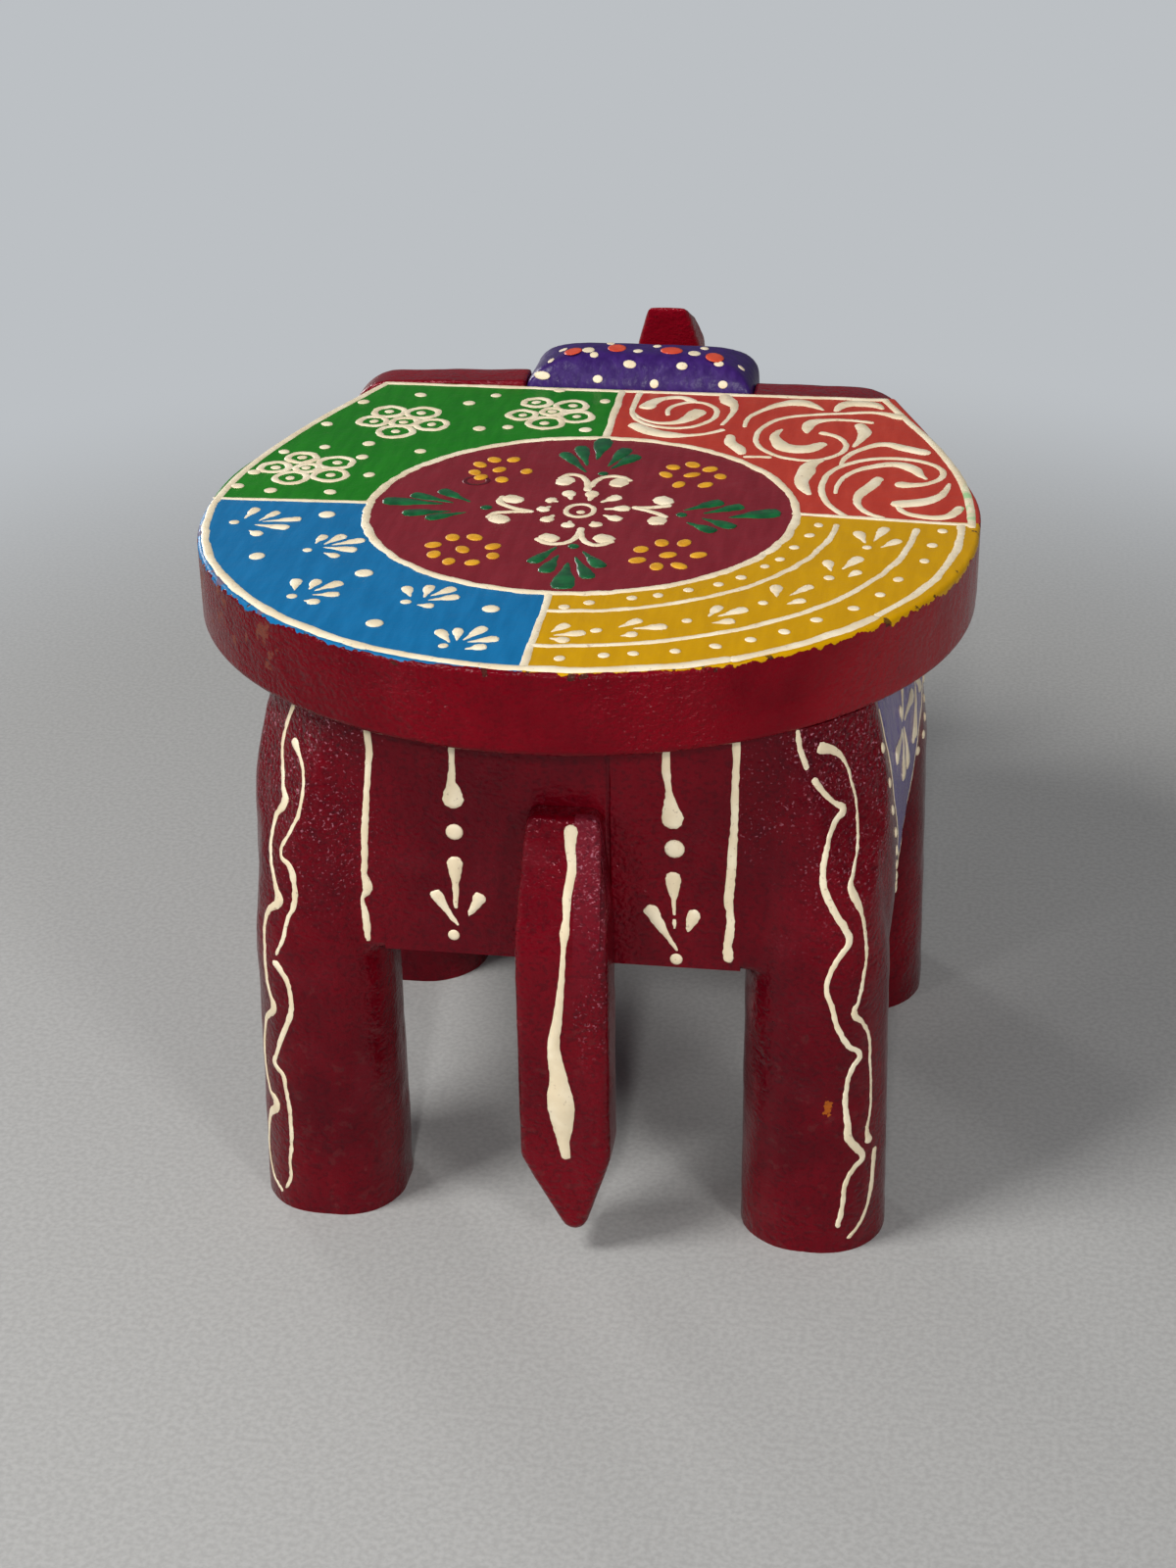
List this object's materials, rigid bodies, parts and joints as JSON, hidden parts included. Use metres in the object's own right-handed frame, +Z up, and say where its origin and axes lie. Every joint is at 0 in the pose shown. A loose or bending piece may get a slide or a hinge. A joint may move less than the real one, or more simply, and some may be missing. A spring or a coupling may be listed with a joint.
{
  "type": "elephant stool",
  "caption": "Low wooden stool shaped as a standing elephant: a round seat board with a straight front on four thick legs, with head, ears, raised trunk, tusks and tail.",
  "frame": {"origin": "on the floor, under the middle of the whole stool's bounding box", "axes": "+Z up, +Y from the tail towards the head, +X to the elephant's right"},
  "size_m": [0.2, 0.2674, 0.1776],
  "materials": {
    "seat_paint": "satin lacquer, painted in quarters of green, coral red, blue and yellow around a maroon disc, with raised cream lines",
    "crimson_lacquer": "satin lacquer with brush marks and raised cream lines",
    "purple_lacquer": "satin lacquer with raised cream and red dots",
    "ivory_paint": "satin paint",
    "bare_wood": "raw, unseen",
    "wood_filler": "painted over",
    "nail_steel": "plain wire nail, painted over where it shows"
  },
  "bodies": {
    "root": {"seat_board": "seat_paint", "left_leg_plank": "crimson_lacquer", "right_leg_plank": "crimson_lacquer", "wide_core_block": "crimson_lacquer", "narrow_core_block": "crimson_lacquer", "head_block": "purple_lacquer", "left_ear": "crimson_lacquer", "right_ear": "crimson_lacquer", "trunk": "crimson_lacquer", "left_tusk": "ivory_paint", "right_tusk": "ivory_paint", "tail": "crimson_lacquer", "seat_nails": "nail_steel", "nail_filler": "wood_filler", "plank_dowels": "bare_wood", "head_dowels": "bare_wood", "trunk_dowel": "bare_wood", "ear_nails": "nail_steel", "tail_nails": "nail_steel"}
  },
  "joints": []
}
